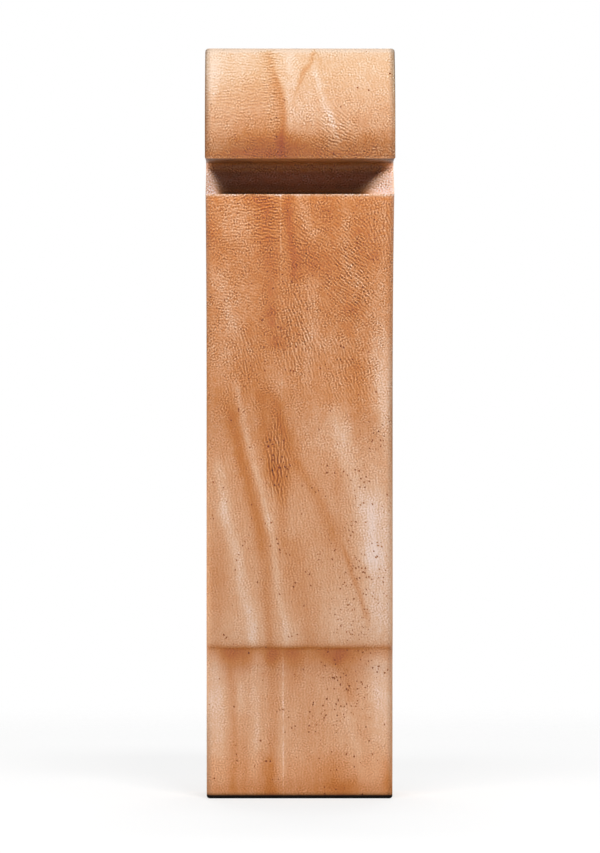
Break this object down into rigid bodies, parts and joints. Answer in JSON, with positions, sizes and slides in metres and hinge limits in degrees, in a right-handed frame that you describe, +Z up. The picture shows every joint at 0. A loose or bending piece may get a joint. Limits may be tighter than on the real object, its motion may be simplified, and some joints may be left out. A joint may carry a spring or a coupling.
{
  "type": "wooden bracket",
  "caption": "Tall slim solid wooden bracket: rounded overhanging head, deep notch below it, front that sweeps back, stepped foot. It carries a shelf or beam against a wall.",
  "frame": {"origin": "on the floor, at the middle of the bracket's bounding box seen from above", "axes": "+Z up along the bracket's height, +Y towards the wall at its flat back, so the front faces -Y, +X across its width"},
  "size_m": [0.0888, 0.1396, 0.3556],
  "materials": {
    "wood": "satin oiled bare wood, warm orange-brown with paler streaks, vertical grain"
  },
  "bodies": {
    "root": {"bracket": "wood"}
  },
  "joints": []
}
